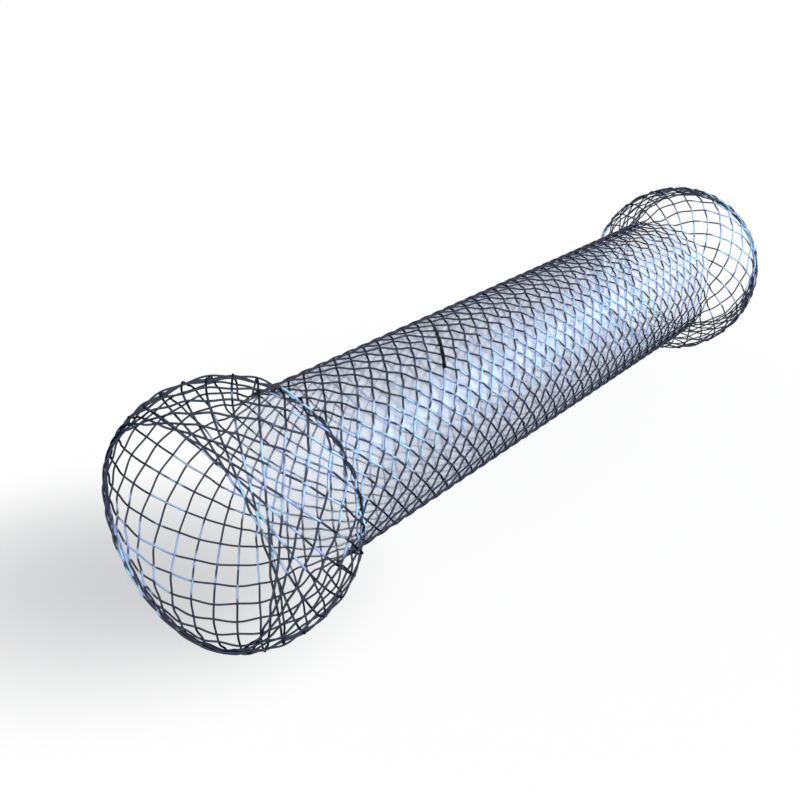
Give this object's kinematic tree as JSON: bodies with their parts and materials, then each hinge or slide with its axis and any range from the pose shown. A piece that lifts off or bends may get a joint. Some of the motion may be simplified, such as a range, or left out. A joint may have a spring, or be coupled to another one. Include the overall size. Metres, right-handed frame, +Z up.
{
  "type": "covered esophageal stent",
  "caption": "Self-expanding esophageal stent: a tube woven by hand from one fine metal wire, with a flared, crowned mouth at each end and a thin clear film lining the tube between the flares",
  "frame": {"origin": "on the floor under the middle of the stent, which lies on its two flares", "axes": "X runs along the stent from one mouth to the other, Z is up, Y is level across the stent"},
  "size_m": [0.106, 0.025, 0.025],
  "materials": {
    "stent_wire": "dark blue-black oxide on thin drawn wire, smooth",
    "cover_film": "clear thin polymer film with a faint blue tint",
    "sleeve_metal": "dark metal, crimped"
  },
  "bodies": {
    "root": {"woven_wire": "stent_wire", "body_cover": "cover_film", "splice_sleeve": "sleeve_metal"}
  },
  "joints": []
}
